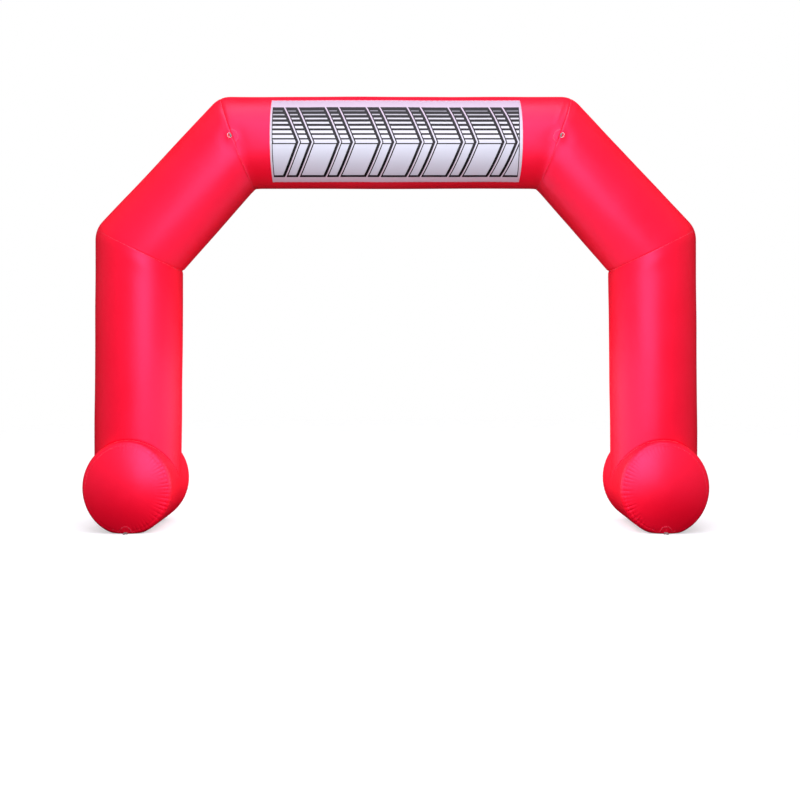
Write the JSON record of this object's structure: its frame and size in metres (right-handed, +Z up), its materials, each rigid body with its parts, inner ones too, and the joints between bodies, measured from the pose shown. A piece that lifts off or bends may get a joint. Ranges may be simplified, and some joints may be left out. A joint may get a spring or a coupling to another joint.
{
  "type": "inflatable arch",
  "caption": "Inflatable cloth arch of mitred tubes on two lying foot tubes, with a printed banner across the front and D-rings for guy ropes.",
  "frame": {"origin": "on the ground, midway between the two feet", "axes": "+X across the passage to the right foot, +Y through the passage from the banner side to the back, +Z up"},
  "size_m": [6, 1.2018, 4.265],
  "materials": {
    "coated_cloth": "satin coated polyester, red",
    "banner_cloth": "printed polyester, white with black and grey",
    "webbing": "woven polypropylene webbing, grey",
    "steel": "polished"
  },
  "bodies": {
    "root": {"crossbeam": "coated_cloth", "banner": "banner_cloth", "slope_left": "coated_cloth", "leg_left": "coated_cloth", "foot_left": "coated_cloth", "foot_end_left_front": "coated_cloth", "corner_left_front_patch": "coated_cloth", "corner_left_front_tab": "webbing", "corner_left_front_ring": "steel", "foot_left_front_patch": "coated_cloth", "foot_left_front_tab": "webbing", "foot_left_front_ring": "steel", "foot_end_left_back": "coated_cloth", "corner_left_back_patch": "coated_cloth", "corner_left_back_tab": "webbing", "corner_left_back_ring": "steel", "foot_left_back_patch": "coated_cloth", "foot_left_back_tab": "webbing", "foot_left_back_ring": "steel", "slope_right": "coated_cloth", "leg_right": "coated_cloth", "foot_right": "coated_cloth", "foot_end_right_front": "coated_cloth", "corner_right_front_patch": "coated_cloth", "corner_right_front_tab": "webbing", "corner_right_front_ring": "steel", "foot_right_front_patch": "coated_cloth", "foot_right_front_tab": "webbing", "foot_right_front_ring": "steel", "foot_end_right_back": "coated_cloth", "corner_right_back_patch": "coated_cloth", "corner_right_back_tab": "webbing", "corner_right_back_ring": "steel", "foot_right_back_patch": "coated_cloth", "foot_right_back_tab": "webbing", "foot_right_back_ring": "steel"}
  },
  "joints": []
}
